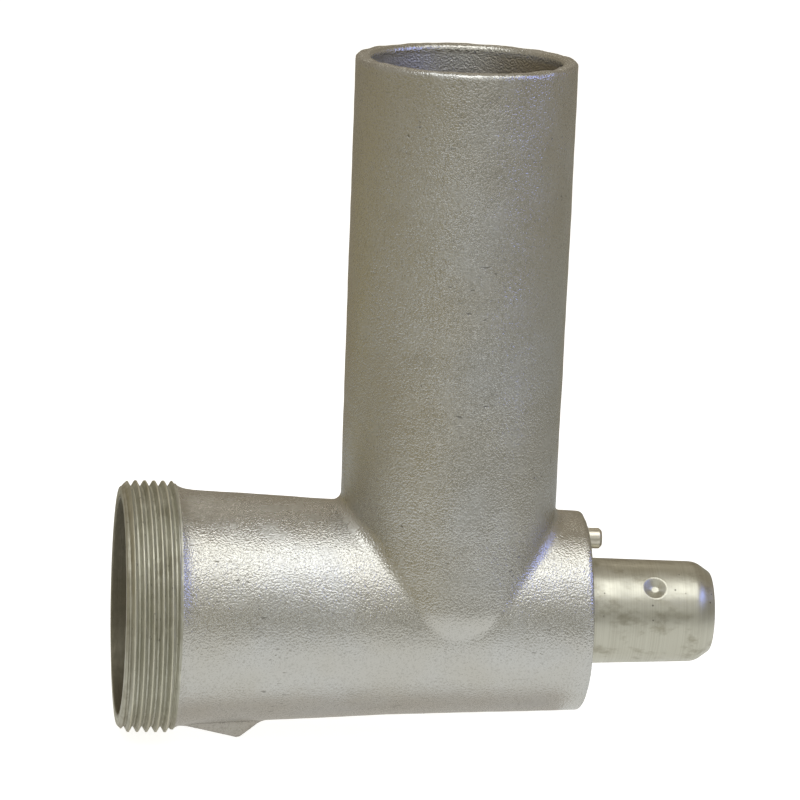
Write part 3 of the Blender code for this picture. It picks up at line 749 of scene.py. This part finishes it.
def make_pins():
    """Locating pin, plate key and the shank's cross pin."""
    radius = (PIN_HIGH[2] - PIN_LOW[2]) / 2
    corner_list = [(PIN_LOW[0], 0, 0), (PIN_LOW[0], radius, 0.4), (PIN_HIGH[0] - 0.9, radius, 0.3),
                   (PIN_HIGH[0], radius - 0.8, 0.3), (PIN_HIGH[0], 0, 0)]
    pin = turned("locating_dowel", rounded(corner_list, closed=False), PIN_STEEL, 96, closed=False)
    settle(pin, (0, 0, PIN_Z))
    add_piece(pin, "head", "locating_pin")
    key_radius = (KEY_HIGH[0] - KEY_LOW[0]) / 2
    key_path = rod_path(-KEY_HIGH[2], -KEY_LOW[2], key_radius, 0.35)
    key = turned("plate_stop", key_path, PIN_STEEL, 48, closed=False)
    settle(key, ((KEY_LOW[0] + KEY_HIGH[0]) / 2, 0, 0), (0, 90, 0))
    add_piece(key, "head", "plate_key")
    cross_path = rod_path(CROSS_LOW[1], CROSS_HIGH[1], 2.0, 0.3)
    cross = turned("cross_pin", cross_path, SHANK_STEEL, 48, closed=False)
    settle(cross, (CROSS_X, 0, 0), (0, 0, 90))
    add_piece(cross, "worm", "shank_pin")


def make_bearings():
    """Seal, bushes and thrust washer round the shank."""
    bore = BEARING_BORE
    seal_path = rounded([(SEAL_LOW[0], bore + 0.9, 0.2), (SEAL_LOW[0], SEAL_HIGH[1], 0.4),
                         (SEAL_HIGH[0], SEAL_HIGH[1], 0.4), (SEAL_HIGH[0], bore + 1.2, 0.2),
                         (SEAL_HIGH[0] - 1.4, bore + 0.8, 0.2), (SEAL_HIGH[0] - 2.2, bore, 0.15)])
    add_piece(turned("lip_seal", seal_path, RUBBER), "head", "shank_seal")
    inner = ring_path(INNER_LOW[0], INNER_HIGH[0], bore, INNER_HIGH[1], 0.4)
    add_piece(turned("inner_bush", inner, BRONZE), "head", "shank_bush_inner")
    outer = ring_path(OUTER_LOW[0], OUTER_HIGH[0], bore, OUTER_HIGH[1], 0.4)
    add_piece(turned("outer_bush", outer, BRONZE), "head", "shank_bush_outer")
    washer = ring_path(WASHER_LOW[0], WASHER_HIGH[0], bore, WASHER_HIGH[1], 0.4)
    add_piece(turned("nylon_washer", washer, NYLON), "washer", "thrust_washer")


def cut_box(item, low, high):
    """Takes a block out of a piece, in millimetres."""
    bm = bmesh.new()
    bmesh.ops.create_cube(bm, size=1.0)
    low, high = Vector(low) * MM, Vector(high) * MM
    bmesh.ops.scale(bm, vec=high - low, verts=bm.verts)
    bmesh.ops.translate(bm, vec=(low + high) / 2, verts=bm.verts)
    mesh = bpy.data.meshes.new("block")
    bm.to_mesh(mesh)
    bm.free()
    block = bpy.data.objects.new("block", mesh)
    bpy.context.scene.collection.objects.link(block)
    apply_modifier(item, "BOOLEAN", operation="DIFFERENCE", object=block)
    bpy.data.objects.remove(block)


def apply_modifier(item, kind, **settings):
    """Adds a modifier, and puts its result in the mesh."""
    modifier = item.modifiers.new(kind, kind)
    for key, value in settings.items():
        setattr(modifier, key, value)
    bpy.context.view_layer.update()
    evaluated = item.evaluated_get(bpy.context.evaluated_depsgraph_get())
    mesh = bpy.data.meshes.new_from_object(evaluated)
    item.modifiers.remove(modifier)
    item.data = mesh


def make_worm():
    """Feed worm, shank and knife stud."""
    low = (WORM_LOW[0] - 1, -32.5, -32.5)
    high = (WORM_HIGH[0] + 1, 32.5, 32.5)
    points, faces = surface(worm_field, low, high, WORM_CELL)
    add_piece(mesh_object("worm", points, faces, WORM_TIN), "worm", "feed_worm")
    radius = SHANK_HIGH[2]
    shank = turned("shank", rod_path(SHANK_LOW[0], SHANK_HIGH[0], radius, 0.6), SHANK_STEEL, 96, closed=False)
    cut_box(shank, (SHANK_HIGH[0] - 9.0, -3.75, -radius - 1), (SHANK_HIGH[0] + 1, 3.75, radius + 1))
    apply_modifier(shank, "BEVEL", width=0.25 * MM, segments=2, limit_method="ANGLE",
                   angle_limit=math.radians(50))
    add_piece(shank, "worm", "drive_shank")
    make_stud()


def make_stud():
    """Knife stud: square with rounded edges for the knife, round pin for the plate."""
    square = 5.0
    x_pin = SEAT_X + 0.3
    x_square = WORM_LOW[0] - 0.3

    def to_square(points):
        x, y, z = points.T
        angle = np.arctan2(z, y)
        reach = square / np.maximum(np.abs(np.cos(angle)), np.abs(np.sin(angle)))
        reach = np.minimum(reach, square * 1.33)
        radius = np.hypot(y, z)
        part = (x > SEAT_X - 0.8) & (x < x_square + 0.05) & (radius > square - 1.0)
        factor = np.where(part, (reach + radius - square) / np.maximum(radius, 1e-6), 1.0)
        return np.stack([x, y * factor, z * factor], axis=1)

    corner_list = [(STUD_LOW[0], 0, 0), (STUD_LOW[0], 4.0, 0.8), (x_pin - 1.3, 4.0, 0.2),
                   (x_pin - 1.0, square - 0.5, 0), (x_pin - 0.6, square, 0), (x_square - 0.3, square, 0),
                   (x_square, square - 0.2, 0), (x_square + 0.1, 4.9, 0), (STUD_HIGH[0], 4.9, 0.4),
                   (STUD_HIGH[0], 0, 0)]
    stud = turned("stud", rounded(corner_list, closed=False), SHANK_STEEL, 96, closed=False,
                  shape=to_square)
    stud.data.set_sharp_from_angle(angle=math.radians(40))
    add_piece(stud, "worm", "knife_stud")


# ---------------------------------------------------------------- studio
def emission(name, color, strength):
    """A plain glowing material for a reflection card."""
    material = bpy.data.materials.new(name)
    material.use_nodes = True
    tree = material.node_tree
    tree.nodes.clear()
    output = tree.nodes.new("ShaderNodeOutputMaterial")
    glow = tree.nodes.new("ShaderNodeEmission")
    glow.inputs["Color"].default_value = (*color, 1.0)
    glow.inputs["Strength"].default_value = strength
    tree.links.new(glow.outputs[0], output.inputs["Surface"])
    return material


def make_floor():
    """Plain white floor that the foot stands on."""
    bm = bmesh.new()
    bmesh.ops.create_grid(bm, x_segments=1, y_segments=1, size=6.0)
    mesh = bpy.data.meshes.new("floor")
    bm.to_mesh(mesh)
    bm.free()
    floor = bpy.data.objects.new("floor", mesh)
    bpy.context.scene.collection.objects.link(floor)
    floor.location.z = (FOOT_Z - 0.1) * MM
    material = bpy.data.materials.new("floor_white")
    material.use_nodes = True
    shader = material.node_tree.nodes["Principled BSDF"]
    shader.inputs["Base Color"].default_value = (0.85, 0.85, 0.85, 1)
    shader.inputs["Roughness"].default_value = 0.9
    shader.inputs["Emission Color"].default_value = (1, 1, 1, 1)
    shader.inputs["Emission Strength"].default_value = 0.76
    mesh.materials.append(material)
    floor.visible_glossy = False


def make_card(name, start, stop, color, strength, distance=0.42, height=0.14):
    """Curved card round the object, seen only in reflections."""
    steps = 24
    bm = bmesh.new()
    rows = []
    for step in range(steps + 1):
        angle = math.radians(start + (stop - start) * step / steps)
        x, y = NECK_X * MM + distance * math.sin(angle), -distance * math.cos(angle)
        rows.append((bm.verts.new((x, y, FOOT_Z * MM)), bm.verts.new((x, y, FOOT_Z * MM + height))))
    for (a, b), (c, d) in zip(rows, rows[1:]):
        bm.faces.new((a, c, d, b))
    stage_card(name, bm, color, strength)


def make_floor_card(name, inner, outer, color, strength):
    """Ring on the floor round the object, seen only in reflections."""
    steps = 48
    bm = bmesh.new()
    rows = []
    for step in range(steps):
        angle = math.tau * step / steps
        out = Vector((math.sin(angle), -math.cos(angle), 0))
        middle = Vector((NECK_X, 0, FOOT_Z - 0.1)) * MM
        rows.append((bm.verts.new(middle + out * inner), bm.verts.new(middle + out * outer)))
    for (a, b), (c, d) in zip(rows, rows[1:] + rows[:1]):
        bm.faces.new((a, b, d, c))
    stage_card(name, bm, color, strength)


def make_shadow_card():
    """Dim patch right under the barrel, seen only in reflections."""
    bm = bmesh.new()
    z = (FOOT_Z - 0.05) * MM
    outline = [(MOUTH_X - 4, -33), (-4, -26), (-4, 26), (MOUTH_X - 4, 33)]
    bm.faces.new([bm.verts.new((x * MM, y * MM, z)) for x, y in outline])
    stage_card("floor_card_shade", bm, (1.0, 0.96, 0.88), 0.56)


def stage_card(name, bm, color, strength):
    """Puts a glowing card in the studio, where only reflections show it."""
    mesh = bpy.data.meshes.new(name)
    bm.to_mesh(mesh)
    bm.free()
    card = bpy.data.objects.new(name, mesh)
    bpy.context.scene.collection.objects.link(card)
    mesh.materials.append(emission(name, color, strength))
    for ray in ("camera", "diffuse", "shadow", "transmission", "volume_scatter"):
        setattr(card, "visible_" + ray, False)


def add_light(name, azimuth, elevation, distance, size, color, power):
    """Area light that looks at the object from a direction, in degrees."""
    light = bpy.data.lights.new(name, "AREA")
    light.shape = "RECTANGLE"
    light.size, light.size_y = size
    light.color = color
    light.energy = power
    item = bpy.data.objects.new(name, light)
    bpy.context.scene.collection.objects.link(item)
    az, el = math.radians(azimuth), math.radians(elevation)
    target = Vector((NECK_X * MM, 0, 0.05))
    toward = Vector((math.sin(az) * math.cos(el), -math.cos(az) * math.cos(el), math.sin(el)))
    item.location = target + toward * distance
    item.rotation_euler = (-toward).to_track_quat("-Z", "Y").to_euler()


def make_world():
    """Soft room, darker and browner at the back, that the camera sees as white."""
    world = bpy.data.worlds.new("room")
    bpy.context.scene.world = world
    world.use_nodes = True
    tree = world.node_tree
    tree.nodes.clear()
    output = tree.nodes.new("ShaderNodeOutputWorld")
    seen = tree.nodes.new("ShaderNodeBackground")
    seen.inputs["Color"].default_value = (1, 1, 1, 1)
    room = tree.nodes.new("ShaderNodeBackground")
    room.inputs["Strength"].default_value = 1.0
    direction = tree.nodes.new("ShaderNodeTexCoord")
    parts = tree.nodes.new("ShaderNodeSeparateXYZ")
    across = tree.nodes.new("ShaderNodeMapRange")
    across.inputs["From Min"].default_value = -0.8
    across.inputs["From Max"].default_value = 0.8
    tint = tree.nodes.new("ShaderNodeMix")
    tint.data_type = "RGBA"
    tint.inputs[6].default_value = (0.45, 0.43, 0.37, 1)
    tint.inputs[7].default_value = (0.33, 0.29, 0.22, 1)
    path = tree.nodes.new("ShaderNodeLightPath")
    choose = tree.nodes.new("ShaderNodeMixShader")
    link = tree.links.new
    link(direction.outputs["Generated"], parts.inputs[0])
    link(parts.outputs["Y"], across.inputs["Value"])
    link(across.outputs[0], tint.inputs["Factor"])
    link(tint.outputs[2], room.inputs["Color"])
    link(path.outputs["Is Camera Ray"], choose.inputs[0])
    link(room.outputs[0], choose.inputs[1])
    link(seen.outputs[0], choose.inputs[2])
    link(choose.outputs[0], output.inputs["Surface"])


def make_camera():
    """Camera a little to the mouth's side and above the barrel."""
    azimuth, elevation, roll = math.radians(7.23), math.radians(11.97), math.radians(2.325)
    distance, lens = 1.662, 230.4
    target = Vector((-0.0632, 0, 0.0698))
    toward = Vector((-math.sin(azimuth) * math.cos(elevation), -math.cos(azimuth) * math.cos(elevation),
                     math.sin(elevation)))
    data = bpy.data.cameras.new("camera")
    data.lens = lens
    data.sensor_width = 36
    data.clip_end = 20
    item = bpy.data.objects.new("camera", data)
    bpy.context.scene.collection.objects.link(item)
    forward = -toward
    right = forward.cross(Vector((0, 0, 1))).normalized()
    up = right.cross(forward)
    rolled_right = right * math.cos(roll) + up * math.sin(roll)
    rolled_up = up * math.cos(roll) - right * math.sin(roll)
    turn = Matrix((rolled_right, rolled_up, toward)).transposed()
    item.matrix_world = Matrix.Translation(target + toward * distance) @ turn.to_4x4()
    bpy.context.scene.camera = item


make_camera()
make_casting()
make_mouth()
make_spigot()
make_pins()
make_bearings()
make_worm()
make_floor()
make_card("card_left", -150, -12, (1.0, 0.87, 0.50), 0.35)
make_card("card_right", -12, 150, (1.0, 0.97, 0.82), 0.33)
make_floor_card("floor_card_near", 0.001, 0.24, (0.99, 1.0, 0.97), 0.81)
make_floor_card("floor_card_middle", 0.24, 0.43, (0.98, 1.0, 0.98), 0.42)
make_floor_card("floor_card_far", 0.43, 3.0, (1.0, 0.88, 0.66), 0.28)
make_shadow_card()
add_light("key", 0, 63, 1.3, (1.5, 0.95), (0.96, 0.99, 1.0), 7.4)
add_light("low", 0, 17, 1.3, (1.5, 0.3), (0.86, 0.93, 1.0), 0.75)
add_light("side", 67, 30, 1.0, (0.6, 0.3), (0.26, 0.36, 1.0), 1.25)
add_light("back", 180, 45, 1.3, (0.7, 0.06), (1.0, 0.97, 0.9), 0.35)
make_world()
bpy.context.scene.view_settings.view_transform = "Standard"
